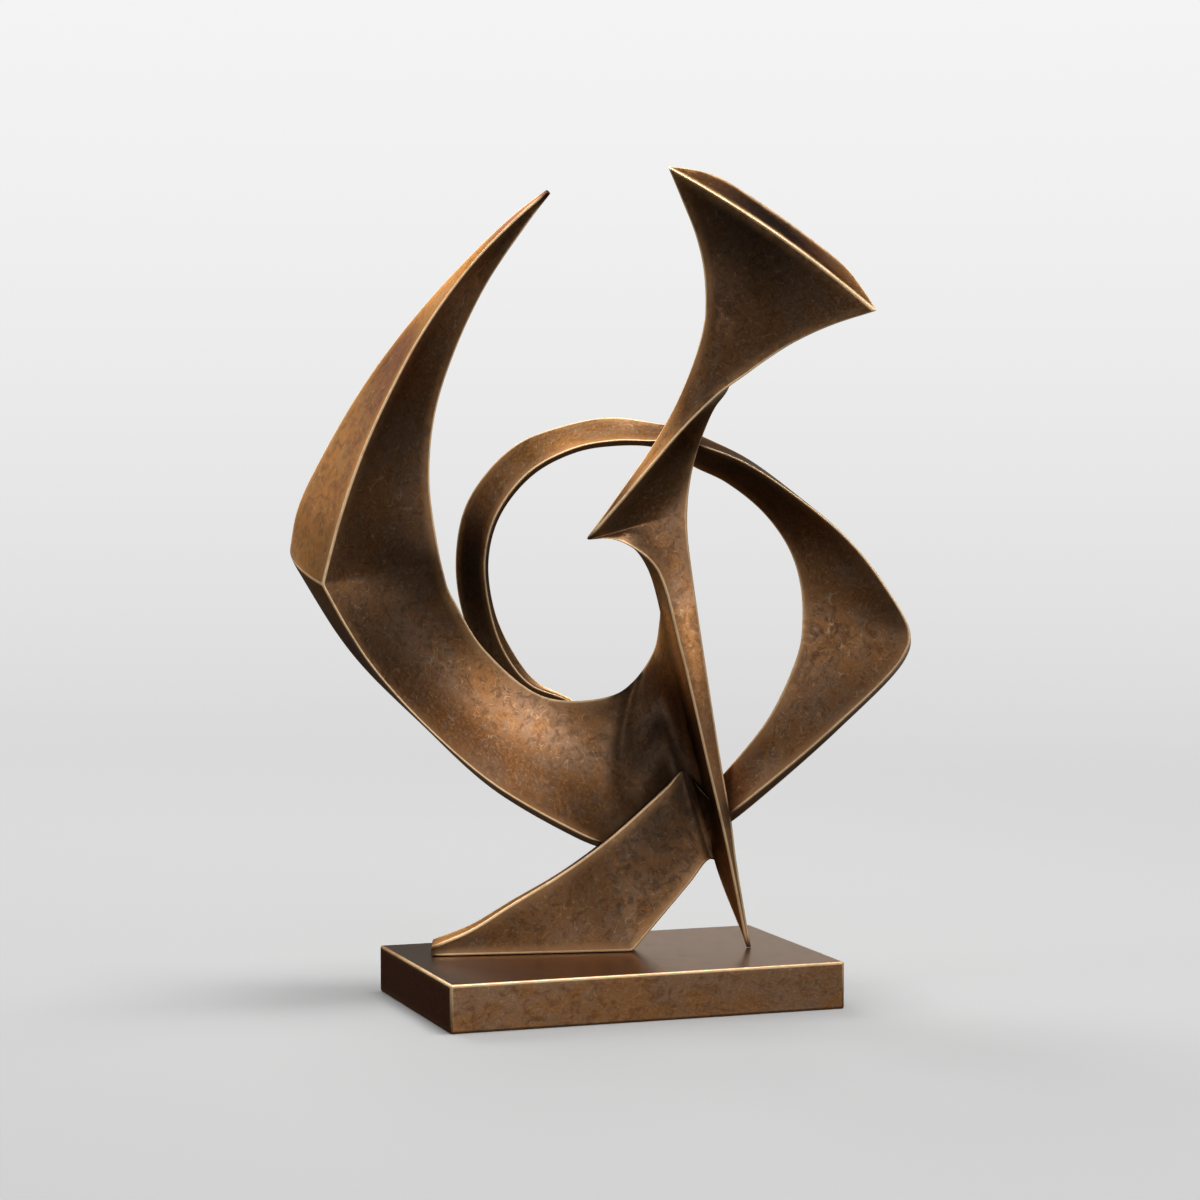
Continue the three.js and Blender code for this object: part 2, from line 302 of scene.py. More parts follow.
def makeSweep():
    ridge, inner, back = sweep["ridge"], sweep["inner"], sweep["back"]
    elbow, last = sweep["elbow"], len(ridge) - 1
    rails = [makeRail(ridge, elbow), makeRail(inner), makeRail(back, elbow, sweep["backSoftness"])]
    coveStart = []
    for i in range(len(ridge) - len(sweep["coveEnd"])):
        corners = [Vector(p[i]) for p in (ridge, inner, back)]
        depth = min(sweep["coveDepth"], i * sweep["coveGrowth"])
        coveStart.append(bowed(corners[0], corners[1], middleOf(corners), depth))
    cove = makeRail(coveStart + sweep["coveEnd"])

    def sectionAt(place):
        corners = [rail(place) for rail in rails]
        centre = middleOf(corners)
        fullness = min(1, place / sweep["fullFrom"])
        nearElbow = max(0, 1 - abs(place - elbow) / sweep["elbowReach"])
        outerBow = sweep["outerBow"] * fullness - sweep["elbowFullness"] * nearElbow
        middles = [
            cove(place),
            bowed(corners[1], corners[2], centre, sweep["rearBow"] * fullness),
            bowed(corners[2], corners[0], centre, outerBow),
        ]
        return sectionLoop(corners, middles, sweep["parts"])

    crease = sectionAt(elbow)
    outerStart = sum(sweep["parts"][:2]) + 2 * casting["edgeParts"]
    edgeLines.append(crease[outerStart:] + crease[:1])  # the crease is worn as the edges are
    return loftBlade("sweep", rails, sweep["parts"], sectionAt, last, (elbow,), openEnd=True)


blade = {
    "beak": 10,  # station of the lower crease
    "fanStations": 4,  # the fan's full faces fade out over these
    "fanBows": (-1.9, -3.1, -2.4),  # right of the front edge, behind the right edge, and the rear face
    "postBows": (0.5, -0.3, 0),
    "hollow": 3,
    "rimBulge": (2.2, 0, 3.1),  # how far the main face's rim curves out
    "fanSoftness": (1.8, 3, 9, 9),  # how far each corner is rounded at the fan's rim
    "softStations": 3,  # and over how many stations that fades
    "edgeFrom": (0, 0, 3, 3),  # the station where each corner becomes a worn edge
    "postThickness": 18,
    "postTaper": 130,
    "postFoot": 5,  # the taper's point lies this far below the plinth's top
    "rearLean": (6, 8),  # the rear edge lies left and down by its depth divided by these
    "parts": (26, 12, 14, 16),
    "left": [
        (30, -14, 443.5), (38, -9, 426), (45, -5, 409.5), (49.5, -2, 393), (51, 0, 376),
        (50.5, 1, 363.5), (46, 0, 345.5), (36, -1, 320.5), (23, -3, 297), (3, -9, 269),
        (-12, -9.5, 248), (0, -3, 248), (11.5, 3, 243.5), (20.5, 8, 231), (32, 16, 187),
        (48, 22, 121.5), (54, 24, 90.5), (57, 23, 71), (74.5, 19.5, 25.3),
    ],
    "front": [
        (142, -14, 366.5), (117, -12, 359), (98, -10, 350.5), (84, -9, 342), (72, -10, 333.5),
        (59.5, -12, 325), (50, -13, 316.5), (37.5, -14, 304), (21.5, -14, 285.5), (5, -12.5, 266),
        (-11.5, -10, 247), (1, -10, 247.5), (11.5, -10, 243.5), (25, -9.5, 232), (38, -6, 189.5),
        (53.5, 3, 124.5), (61, 8, 93.5), (65.5, 11, 74), (75.5, 18.5, 25.3),
    ],
    "right": [
        (126, 10, 393), (106.5, 12, 374.5), (89, 13, 363), (76.5, 13, 352), (69, 12, 341.5),
        (63.5, 8, 326), (57, 7, 317), (51.5, 6, 305), (46, 5, 288.5), (43, 4, 273), (42, 3, 261.5),
        (42, 2.5, 253), (42.5, 2.5, 246), (44, 2, 233.5), (50.5, 2, 189), (61, 8.5, 124),
        (66.5, 12, 93), (69, 14, 73.5), (77, 19.5, 25.3),
    ],
    "fanRear": [
        (60.5, 11, 439.5), (57.5, 15, 414), (60.5, 16, 391.5), (57.5, 16, 374.5), (55.5, 17, 361.5),
        (55.5, 17, 345.5), (52, 18, 329), (46, 19, 313), (41, 20, 294.5), (38.5, 20, 275.5),
    ],
}


def makeFanAndPost():
    beak, last = blade["beak"], len(blade["front"]) - 1
    rear = [Vector(p) for p in blade["fanRear"]]
    for point in blade["right"][beak:]:
        share = min(1, (point[2] - casting["plinthLevel"] + blade["postFoot"]) / blade["postTaper"])
        depth = blade["postThickness"] * math.sin(share * math.pi / 2)
        leftward, down = (-depth / part for part in blade["rearLean"])
        rear.append(Vector(point) + Vector((leftward, depth, down)))
    rails = [makeRail(blade["left"], beak), makeRail(blade["front"], beak)]
    rails += [makeRail(blade["right"]), makeRail(rear)]
    softEdge = casting["edgeSoftness"]

    def sectionAt(place):
        corners = [rail(place) for rail in rails]
        left, front, right, back = corners
        centre = middleOf(corners)
        fan = max(0, 1 - place / blade["fanStations"])
        hollow = blade["hollow"] * min(1, place) * max(0, 1 - place / (beak - 1))
        face = bowed(left, front, middleOf([left, front, Vector(blade["right"][0])]), hollow)
        face += Vector(blade["rimBulge"]) * max(0, 1 - place)
        bows = [full * fan + post for full, post in zip(blade["fanBows"], blade["postBows"])]
        middles = [
            face,
            bowed(front, right, centre, bows[0]),
            bowed(right, back, centre, bows[1]),
            bowed(back, left, centre, bows[2]),
        ]
        fading = max(0, 1 - place / blade["softStations"])
        softness = [softEdge + (soft - softEdge) * fading for soft in blade["fanSoftness"]]
        return sectionLoop(corners, middles, blade["parts"], softness)

    return loftBlade(
        "fanAndPost", rails, blade["parts"], sectionAt, last, (beak,), openEnd=True,
        edgeFrom=blade["edgeFrom"],
    )


ring = {
    "bows": (0.3, 0.5, 1),  # hollow of the faces from front to outer, to inner and back
    "parts": (12, 12, 14),
    "front": [
        (9, 42, 135), (-21, 44.5, 157), (-43, 41, 166.5), (-56.5, 37, 184), (-64, 33, 207.5),
        (-66.5, 29, 235), (-60.5, 26, 258.5), (-42.5, 23, 282), (-18, 20, 295), (3.5, 17, 299),
        (23, 14, 299), (38, 11, 299.5), (50.5, 8, 296.5), (72.5, 4, 288), (100, 0, 270),
        (128, -3, 246.5), (147, -5, 222.5), (160.5, -5, 197), (157, -4.5, 184.5), (120.5, 1, 146),
        (71, 10, 103), (61, 12, 95.5),
    ],
    "outer": [
        (7.5, 46, 127.5), (-25.5, 58, 147.5), (-51, 60, 156), (-67, 58, 174), (-80, 54, 200.5),
        (-84.5, 50, 234), (-77.5, 47, 267), (-52.5, 44, 296.5), (-23, 41, 308.5), (2, 38, 312.5),
        (25, 35, 309.5), (42, 33, 306), (53, 32, 301), (75, 31, 290), (101.5, 30, 270.5),
        (130.2, 28, 245.8), (150.5, 26, 220), (163.5, 25, 193.5), (160.5, 25, 181),
        (124.5, 27, 142.5), (74, 29, 97.5), (62.5, 27, 89),
    ],
    "inner": [
        (9.5, 44, 138.5), (-21.5, 49, 159), (-39.5, 49, 168), (-53, 47, 186), (-62, 45, 207),
        (-65, 42, 234.5), (-58.5, 40, 258.5), (-40.5, 38, 280.5), (-17.5, 36, 292.5),
        (3.5, 33, 296), (23.5, 31, 295.5), (36, 29, 291), (46, 27, 284.5), (62.5, 25, 276.5),
        (82.5, 22, 260.5), (96.5, 20, 240.5), (102.5, 18, 220), (103, 17, 197.5), (101, 17, 185.5),
        (86, 18, 151.5), (62.5, 21.5, 121), (56, 21, 113.5),
    ],
}


def makeRing():
    rails = [makeRail(ring[name]) for name in ("front", "outer", "inner")]
    last = len(ring["front"]) - 1

    def sectionAt(place):
        corners = [rail(place) for rail in rails]
        centre = middleOf(corners)
        middles = [bowed(corners[i], corners[(i + 1) % 3], centre, ring["bows"][i]) for i in range(3)]
        return sectionLoop(corners, middles, ring["parts"])

    return loftBlade("ring", rails, ring["parts"], sectionAt, last)


fin = {
    "heel": 4,  # station where the underside leaves the plinth
    "thickness": 12,
    "tipRise": 2.5,  # how far the rear ridge stands above the front one at the tip
    "riseStations": 3,
    "foot": ((-95, -12), (13, 4.5)),
    "footShift": 1,
    "bows": (0, 0, 0, 0.8),  # only the front face is hollow
    "parts": (8, 20, 8, 20),
    "ridge": [
        (-94.5, -10, 30), (-74, -7, 38.5), (-52.5, -2.5, 51.5), (-26, 4, 67), (-0.5, 10, 85),
        (31.5, 21.5, 112.5), (41, 25, 121.5), (49, 19, 112), (55, 13.5, 106),
    ],
    "underside": [(44, 19, 60), (55, 23, 72.5), (60, 21, 70.5), (65, 17, 67.5)],
}


def makeFin():
    heel, last = fin["heel"], len(fin["ridge"]) - 1
    level = casting["footLevel"]
    start, end = (Vector((*point, level)) for point in fin["foot"])
    underside = [start.lerp(end, i / heel) for i in range(heel + 1)]
    underside += [Vector(p) for p in fin["underside"]]

    def behind(points, across, rise):
        shifted = []
        for i, point in enumerate(points):
            lift = rise * max(0, 1 - i / fin["riseStations"])
            shifted.append(Vector(point) + Vector((across, fin["thickness"], lift)))
        return shifted

    rails = [
        makeRail(fin["ridge"]),
        makeRail(behind(fin["ridge"], 0, fin["tipRise"])),
        makeRail(behind(underside, fin["footShift"], 0), heel),
        makeRail(underside, heel),
    ]

    def sectionAt(place):
        corners = [rail(place) for rail in rails]
        centre = middleOf(corners)
        middles = [bowed(corners[i], corners[(i + 1) % 4], centre, fin["bows"][i]) for i in range(4)]
        return sectionLoop(corners, middles, fin["parts"])

    return loftBlade("fin", rails, fin["parts"], sectionAt, last, (heel,), openEnd=True)


def joinPieces(name, pieces):
    whole = pieces[0]
    for other in pieces[1:]:
        union = whole.modifiers.new("join" + other.name, "BOOLEAN")
        union.operation = "UNION"
        union.solver = "MANIFOLD"
        union.object = other
    ready = whole.evaluated_get(bpy.context.evaluated_depsgraph_get())
    mesh = bpy.data.meshes.new_from_object(ready)
    for piece in pieces:
        bpy.data.objects.remove(piece)
    mesh.name = name
    joined = bpy.data.objects.new(name, mesh)
    bpy.context.scene.collection.objects.link(joined)
    return joined


def treeOf(lines, spacing=0.4):  # points along the lines, to measure distances from
    points = []
    for line in lines:
        for a, b in zip(line, line[1:]):
            steps = max(1, math.ceil((b - a).length / spacing))
            points += [a.lerp(b, k / steps) for k in range(steps)]
    tree = KDTree(len(points))
    for i, point in enumerate(points):
        tree.insert(point, i)
    tree.balance()
    return tree


def nearness(tree, point, close, far):  # 1 within close, 0 beyond far
    distance = tree.find(point)[2]
    share = min(1, max(0, (far - distance) / (far - close)))
    return share * share * (3 - 2 * share)


surface = {
    "weldBelow": 0.001,
    "sharpFrom": 38,  # degrees
    "hollowFrom": 25,  # a fold this deep is a corner where two blades meet
    "recess": (0.5, 14),  # full within the first distance of such a corner, gone at the second
    "edgeWearAndGlint": (0.45, 1.2),  # the same from a worn edge, whose bright line is partly a painted highlight
    "edgeBand": (0.5, 6.5),
}

# Painted light and shade: places where the colour is made paler or darker to stand in for light and
# shade falling there. Each gives the middle of the place, its reach, and the factor there.
paintedLightShadeSpots = {
    "hornTip": ((-52, 2, 410), 34, 0.42),
    "hornUpperInner": ((-74, 3, 379), 35, 3),
    "hornUpperOuter": ((-104, 8, 358), 34, 0.58),
    "hornLowerInner": ((-103, 0, 305), 26, 0.6),
    "aboveElbow": ((-122, -3, 258), 28, 0.8),
    "insideElbow": ((-140, -8, 222), 24, 1.9),
    "bellyLeft": ((-118, 9, 208), 38, 0.46),
    "bellyMiddle": ((-62, 24, 153), 36, 2.8),
    "bellyFront": ((-33, 22, 133), 26, 1.9),
    "cove": ((37, 34, 143), 31, 0.14),
    "ringTop": ((-24, 22, 304), 24, 1.4),
    "ringLeft": ((-76, 40, 234), 34, 0.3),
    "crescentTop": ((78, 8, 281), 36, 0.4),
    "crescentMiddle": ((131, 5, 209), 30, 1.4),
    "fanTop": ((90, 0, 417), 24, 0.5),
    "fanFace": ((69, -8, 397), 44, 0.3),
    "postUpper": ((42, 0, 208), 28, 5),
    "postMiddle": ((50, 4, 166), 28, 4.2),
    "postLower": ((57, 6, 120), 24, 3.2),
    "postFoot": ((64, 8, 74), 26, 1.9),
    "finBesidePost": ((45, 12, 94), 24, 0.33),
    "finUpper": ((14, 12, 76), 34, 0.55),
    "finLower": ((-10, 2, 32), 22, 1.3),
}


# painted light and shade: the product of the spots' factors at a point
def paintedLightShadeAt(point):
    paintedLightShade = 0.0
    for place, reach, strength in paintedLightShadeSpots.values():
        near = (point - Vector(place)).length / reach
        paintedLightShade += math.log(strength) * math.exp(-near * near)
    return math.exp(paintedLightShade)


def shadeFolds(bm):  # smooth shading but for the sharp folds, and the lines of the hollow ones
    hollows = []
    for face in bm.faces:
        face.smooth = True
    for edge in bm.edges:
        bend = edge.calc_face_angle_signed(0)
        edge.smooth = abs(bend) < math.radians(surface["sharpFrom"])
        if bend < -math.radians(surface["hollowFrom"]):
            hollows.append([v.co.copy() for v in edge.verts])
    return hollows


def markSurface(bm, hollows):  # what the bronze reads: wear with a painted highlight along the edges, rubbed band, painted light and shade, and recess
    edgeTree, hollowTree = treeOf(edgeLines), treeOf(hollows)
    wearAndGlintLayer = bm.verts.layers.float.new("edgeWearAndGlint")
    bandLayer = bm.verts.layers.float.new("edgeBand")
    paintedLightShadeLayer = bm.verts.layers.float.new("paintedLightShade")
    recessLayer = bm.verts.layers.float.new("recess")
    for vert in bm.verts:
        recess = nearness(hollowTree, vert.co, *surface["recess"])
        exposed = 1 - recess**3
        vert[recessLayer] = recess
        # painted light and shade from the spots, kept as a vertex attribute
        vert[paintedLightShadeLayer] = paintedLightShadeAt(vert.co)
        # worn edges, with a painted highlight along them
        vert[wearAndGlintLayer] = nearness(edgeTree, vert.co, *surface["edgeWearAndGlint"]) * exposed
        vert[bandLayer] = nearness(edgeTree, vert.co, *surface["edgeBand"]) * exposed


def finishCasting(piece):
    bm = bmesh.new()
    bm.from_mesh(piece.data)
    bmesh.ops.remove_doubles(bm, verts=bm.verts, dist=surface["weldBelow"])
    bmesh.ops.recalc_face_normals(bm, faces=bm.faces)
    markSurface(bm, shadeFolds(bm))
    bmesh.ops.delete(bm, geom=[e for e in bm.edges if not e.link_faces], context="EDGES")
    bmesh.ops.delete(bm, geom=[v for v in bm.verts if not v.link_faces], context="VERTS")
    openEdges = sum(1 for e in bm.edges if len(e.link_faces) != 2)
    bm.transform(Matrix.Rotation(math.radians(casting["turn"]), 4, "Z") @ Matrix.Scale(mm, 4))
    bm.to_mesh(piece.data)
    bm.free()
    print(piece.name, len(piece.data.polygons), "faces,", openEdges, "open edges")


sculpture = joinPieces("sculptureCast", [makeSweep(), makeFanAndPost(), makeRing(), makeFin()])
finishCasting(sculpture)

plinthBlock = {
    "edge": 1.2,  # round of the worn arris
    "edgeRows": 4,
    "collar": 0.5,  # width of the row beside the round, against the round
    "margin": 3,  # width of the row after it
    "nearEdge": 2,  # a point closer than this many rounds is on the edge
    "leastSide": 0.002,  # each of the six sides has more square metres
    "topSlack": 1e-5,
    # wear of each edge, also a painted highlight: the top front edge brightest
    "wearAndGlint": {"topFront": 0.65, "top": 0.22, "upright": 0.12, "bottom": 0.03, "collar": 0.05},
    # painted light and shade on each side of the block: front lighter, left and bottom darker
    "paintedLightShade": {"front": 2.1, "left": 0.6, "back": 1.0, "right": 1.0, "top": 1.0, "bottom": 0.5},
}
outward = {
    "front": (0, -1, 0), "back": (0, 1, 0), "left": (-1, 0, 0), "right": (1, 0, 0),
    "top": (0, 0, 1), "bottom": (0, 0, -1),
}


def sideOf(offset, size):  # the side that a point of the block is nearest to
    def share(side):
        way = Vector(outward[side])
        return offset.dot(way) / abs(size.dot(way))

    return max(outward, key=share)


def makePlinth():
    low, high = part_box("plinth")
    size, centre = high - low, (high + low) / 2
    edge, wearAndGlint = plinthBlock["edge"] * mm, plinthBlock["wearAndGlint"]
    bm = bmesh.new()
    bmesh.ops.create_cube(bm, size=1, matrix=Matrix.Translation(centre) @ Matrix.Diagonal((*size, 1)))
    wearAndGlintLayer = bm.verts.layers.float.new("edgeWearAndGlint")
    bmesh.ops.bevel(
        bm, geom=list(bm.edges), offset=edge, offset_type="OFFSET", segments=plinthBlock["edgeRows"],
        profile=0.5, affect="EDGES", material=-1, clamp_overlap=True,
    )
    sides = [f for f in bm.faces if f.calc_area() > plinthBlock["leastSide"]]
    near = plinthBlock["nearEdge"] * edge
    for vert in bm.verts:
        atTop, atFront = high.z - vert.co.z < near, vert.co.y - low.y < near
        place = "topFront" if atTop and atFront else "top" if atTop else "upright"
        vert[wearAndGlintLayer] = wearAndGlint["bottom" if vert.co.z - low.z < near else place]
    for width, wornAndGlint in ((plinthBlock["collar"] * edge, wearAndGlint["collar"]), (plinthBlock["margin"] * mm, 0)):
        bmesh.ops.inset_individual(bm, faces=sides, thickness=width)
        for vert in {v for f in sides for v in f.verts}:
            vert[wearAndGlintLayer] = wornAndGlint
    # painted light and shade, one factor for each side of the block
    paintedLightShadeLayer = bm.verts.layers.float.new("paintedLightShade")
    for vert in bm.verts:
        vert[paintedLightShadeLayer] = plinthBlock["paintedLightShade"][sideOf(vert.co - centre, size)]
    topLevel = max(f.calc_center_median().z for f in sides) - plinthBlock["topSlack"]
    for face in bm.faces:
        face.smooth = True
        face.material_index = 1 if face.calc_center_median().z > topLevel else 0
    return addPiece("plinthBlock", bm)


plinth = makePlinth()

# Bronze

bronze = {
    "orangeBrown": (0.178, 0.079, 0.028),
    "greyBrown": (0.165, 0.090, 0.049),
    "darkBrown": (0.040, 0.017, 0.006),
    "tan": (0.42, 0.27, 0.15),
    "rubbed": (0.34, 0.175, 0.077),  # the band beside an edge
    # bare bronze at worn edges, made bright enough to be a painted highlight along them too
    "bareEdgeAndGlint": (1.0, 0.70, 0.40),
    "shine": (0.74, 0.50, 0.31),  # at a glancing angle
    "clouds": (24, 2.0, 0.55, 0.5),  # patterns: repeats per metre, detail, roughness, distortion
    "blotches": (85, 3.0, 0.6, 0.8),
    "stains": (150, 3.0, 0.65, 1.2),
    "grain": (700, 1.0, 0.6, 0.0),
    "patternShift": (0.41, 0.13, 0.77),  # of the stains and the grain
    "scratches": (  # repeats per metre, width, shift and turn
        (140, 0.018, (0.3, 0.1, 0.7), (0.4, 0.2, 0.9)),
        (260, 0.026, (1.7, 2.1, 0.2), (1.1, 0.6, 0.1)),
    ),
    "scratchCurl": 0.3,
    "scratchBreaks": (1.6, 0.5, 0.6),  # repeats against the scratch's own, and where it fades
    "hueMix": (0.5, 0.5),  # clouds and blotches
    "hue": (0.42, 0.58),  # from orange brown to grey brown
    "stained": (0.45, 0.68),  # where the stains begin and are full, as all such pairs
    "stainShare": 0.46,
    "grained": (0.45, 0.75),
    "grainShare": 0.14,
    "recessShare": 0.55,
    "bandUneven": (0.3, 0.65, 0.35, 0.85),  # over these stains the rubbed band takes these shares
    "wearAndGlintUneven": (0.3, 0.55, 0.75, 1.0),  # and the bare edge these, over the blotches
    "dullMix": (0.6, 0.4),  # stains and grain
    "dullness": (0.38, 0.62),
    "wornDuller": 0.1,
    "relief": (0.05, 0.4),  # grain and stains
    "bumpDepth": 0.0006,
    "bumpFade": (0.0, 0.6, 0.25, 0.0),  # worn edges are smooth
    "metal": (0.0, 1.0, 0.96, 0.5),  # from unworn to bare
    "waxRoughness": 0.3,
}
finishes = {
    "castBronze": {
        "roughness": (0.32, 0.46), "darkening": 0, "wax": 0.14, "scratching": 0.4,
        "stretch": (1, 1, 1), "turn": (0.5, 0.9, 0.2),
    },
    "plinthSideBronze": {
        "roughness": (0.36, 0.5), "darkening": 0, "wax": 0.14, "scratching": 0.2,
        "stretch": (0.75, 0.9, 1.1), "turn": (0, 0, 0),
    },
    "plinthTopBronze": {
        "roughness": (0.14, 0.26), "darkening": 0.3, "wax": 0.7, "scratching": 0.2,
        "stretch": (0.8, 1, 1), "turn": (0, 0, 0),
    },
}


class Nodes:  # a short way to write a node tree
    def __init__(self, material):
        material.use_nodes = True
        self.tree = material.node_tree
        self.tree.nodes.clear()
        self.output = self.add("ShaderNodeOutputMaterial")

    def add(self, kind, **settings):
        node = self.tree.nodes.new(kind)
        for name, value in settings.items():
            setattr(node, name, value)
        return node

    def link(self, source, target):
        self.tree.links.new(source, target)

    def feed(self, socket, value):
        if isinstance(value, bpy.types.NodeSocket):
            self.link(value, socket)
        else:
            socket.default_value = value

    def math(self, operation, a, b=None):
        node = self.add("ShaderNodeMath", operation=operation)
        self.feed(node.inputs[0], a)
        if b is not None:
            self.feed(node.inputs[1], b)
        return node.outputs[0]

    def times(self, a, b):
        return self.math("MULTIPLY", a, b)

    def weighted(self, first, second, weights):
        return self.math("ADD", self.times(first, weights[0]), self.times(second, weights[1]))

    def ramp(self, value, low, high, toLow=0.0, toHigh=1.0):
        node = self.add("ShaderNodeMapRange", interpolation_type="SMOOTHSTEP")
        for socket, number in zip(node.inputs[:5], (value, low, high, toLow, toHigh)):
            self.feed(socket, number)
        return node.outputs[0]

    def mix(self, share, a, b, blend="MIX"):
        node = self.add("ShaderNodeMix", data_type="RGBA", blend_type=blend)
        self.feed(node.inputs[0], share)
        self.feed(node.inputs[6], (*a, 1) if isinstance(a, tuple) else a)
        self.feed(node.inputs[7], (*b, 1) if isinstance(b, tuple) else b)
        return node.outputs[2]

    def noise(self, place, repeats, detail, roughness=0.55, distortion=0.0):
        node = self.add("ShaderNodeTexNoise")
        self.link(place, node.inputs["Vector"])
        for name, value in (
            ("Scale", repeats), ("Detail", detail), ("Roughness", roughness), ("Distortion", distortion),
        ):
            node.inputs[name].default_value = value
        return node.outputs["Fac"]

    def attribute(self, name):
        return self.add("ShaderNodeAttribute", attribute_name=name).outputs["Fac"]

    def placed(self, shift=(0, 0, 0), turn=(0, 0, 0), stretch=(1, 1, 1)):
        source = self.add("ShaderNodeTexCoord")
        mapping = self.add("ShaderNodeMapping")
        self.link(source.outputs["Object"], mapping.inputs["Vector"])
        mapping.inputs["Location"].default_value = shift
        mapping.inputs["Rotation"].default_value = turn
        mapping.inputs["Scale"].default_value = stretch
        return mapping.outputs["Vector"]


def hairlines(nodes, repeats, width, shift, turn):  # short curved scratches
    place = nodes.placed(shift, turn)
    lines = nodes.noise(place, repeats, 0.0, 0.5, bronze["scratchCurl"])
    offLine = nodes.math("ABSOLUTE", nodes.math("SUBTRACT", lines, 0.5))
    moreOften, fadeFrom, fadeTo = bronze["scratchBreaks"]
    breaks = nodes.ramp(nodes.noise(place, repeats * moreOften, 0.0), fadeFrom, fadeTo)
    return nodes.times(nodes.ramp(offLine, 0.0, width, 1.0, 0.0), breaks)


def bronzeMaterial(name):
    finish = finishes[name]
    material = bpy.data.materials.new(name)
    nodes = Nodes(material)
    plain = nodes.placed(stretch=finish["stretch"])
    aside = nodes.placed(bronze["patternShift"], finish["turn"], finish["stretch"])
    clouds = nodes.noise(plain, *bronze["clouds"])
    blotches = nodes.noise(plain, *bronze["blotches"])
    stains = nodes.noise(aside, *bronze["stains"])
    grain = nodes.noise(aside, *bronze["grain"])
    scratches = nodes.math("MAXIMUM", *(hairlines(nodes, *lines) for lines in bronze["scratches"]))
    recess, band = nodes.attribute("recess"), nodes.attribute("edgeBand")
    # the painted light and shade, from the spots and from the plinth's sides
    paintedLightShade = nodes.attribute("paintedLightShade")
    # worn bare edges, partly a painted highlight
    wearAndGlint = nodes.times(nodes.attribute("edgeWearAndGlint"), nodes.ramp(blotches, *bronze["wearAndGlintUneven"]))

    hue = nodes.ramp(nodes.weighted(clouds, blotches, bronze["hueMix"]), *bronze["hue"])
    colour = nodes.mix(hue, bronze["orangeBrown"], bronze["greyBrown"])
    stained = nodes.times(nodes.ramp(stains, *bronze["stained"]), bronze["stainShare"])
    colour = nodes.mix(stained, colour, bronze["darkBrown"])
    grained = nodes.times(nodes.ramp(grain, *bronze["grained"]), bronze["grainShare"])
    colour = nodes.mix(grained, colour, bronze["tan"])
    colour = nodes.mix(nodes.times(scratches, finish["scratching"]), colour, bronze["tan"])
    colour = nodes.mix(nodes.times(recess, bronze["recessShare"]), colour, bronze["darkBrown"])
    # painted light and shade: the colour is multiplied by it
    colour = nodes.mix(1.0, colour, paintedLightShade, "MULTIPLY")
    if finish["darkening"]:
        colour = nodes.mix(finish["darkening"], colour, bronze["darkBrown"])
    rubbed = nodes.times(band, nodes.ramp(stains, *bronze["bandUneven"]))
    colour = nodes.mix(rubbed, colour, bronze["rubbed"])
    # bare edge colour: wear and a painted highlight
    colour = nodes.mix(wearAndGlint, colour, bronze["bareEdgeAndGlint"])

    dull = nodes.weighted(stains, grain, bronze["dullMix"])
    rough = nodes.ramp(dull, *bronze["dullness"], *finish["roughness"])
    rough = nodes.math("ADD", rough, nodes.times(wearAndGlint, bronze["wornDuller"]))
    bump = nodes.add("ShaderNodeBump")
    nodes.link(nodes.weighted(grain, stains, bronze["relief"]), bump.inputs["Height"])
    nodes.link(nodes.ramp(wearAndGlint, *bronze["bumpFade"]), bump.inputs["Strength"])
    bump.inputs["Distance"].default_value = bronze["bumpDepth"]

    shader = nodes.add("ShaderNodeBsdfPrincipled")
    nodes.link(colour, shader.inputs["Base Color"])
    nodes.link(rough, shader.inputs["Roughness"])
    nodes.link(bump.outputs["Normal"], shader.inputs["Normal"])
    nodes.link(nodes.ramp(wearAndGlint, *bronze["metal"]), shader.inputs["Metallic"])
    shader.inputs["Coat Weight"].default_value = finish["wax"]
    shader.inputs["Coat Roughness"].default_value = bronze["waxRoughness"]
    # the painted shade also dims the glancing shine
    shine = nodes.mix(1.0, bronze["shine"], nodes.math("MINIMUM", paintedLightShade, 1.0), "MULTIPLY")
    nodes.link(shine, shader.inputs["Specular Tint"])
    nodes.link(shader.outputs["BSDF"], nodes.output.inputs["Surface"])
    print("finish", name)
    return material


sculpture.data.materials.clear()  # the join leaves an empty slot
sculpture.data.materials.append(bronzeMaterial("castBronze"))
plinth.data.materials.append(bronzeMaterial("plinthSideBronze"))
plinth.data.materials.append(bronzeMaterial("plinthTopBronze"))
for piece, slot, node in ((sculpture, "bronze", "sculpture"), (plinth, "plinth_bronze", "plinth")):
    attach(piece, "root")
    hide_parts(node)

# Stage, light and camera

stage = {
    "radius": 4.2,
    "bend": 2.2,
    "height": 5.0,
    "rings": (0.0, 0.5, 1.1),
    "bendParts": 16,
    "turnParts": 96,
    "paper": (0.385, 0.385, 0.385, 1),
    "fade": (0.35, 1.6),  # where the lamps' light gives way to the paper's own
    "glow": (0.70, 0.91),
    "glowClimb": (1.2, 5.4),  # metres out and up over which it brightens
    "roomLight": 0.10,
}


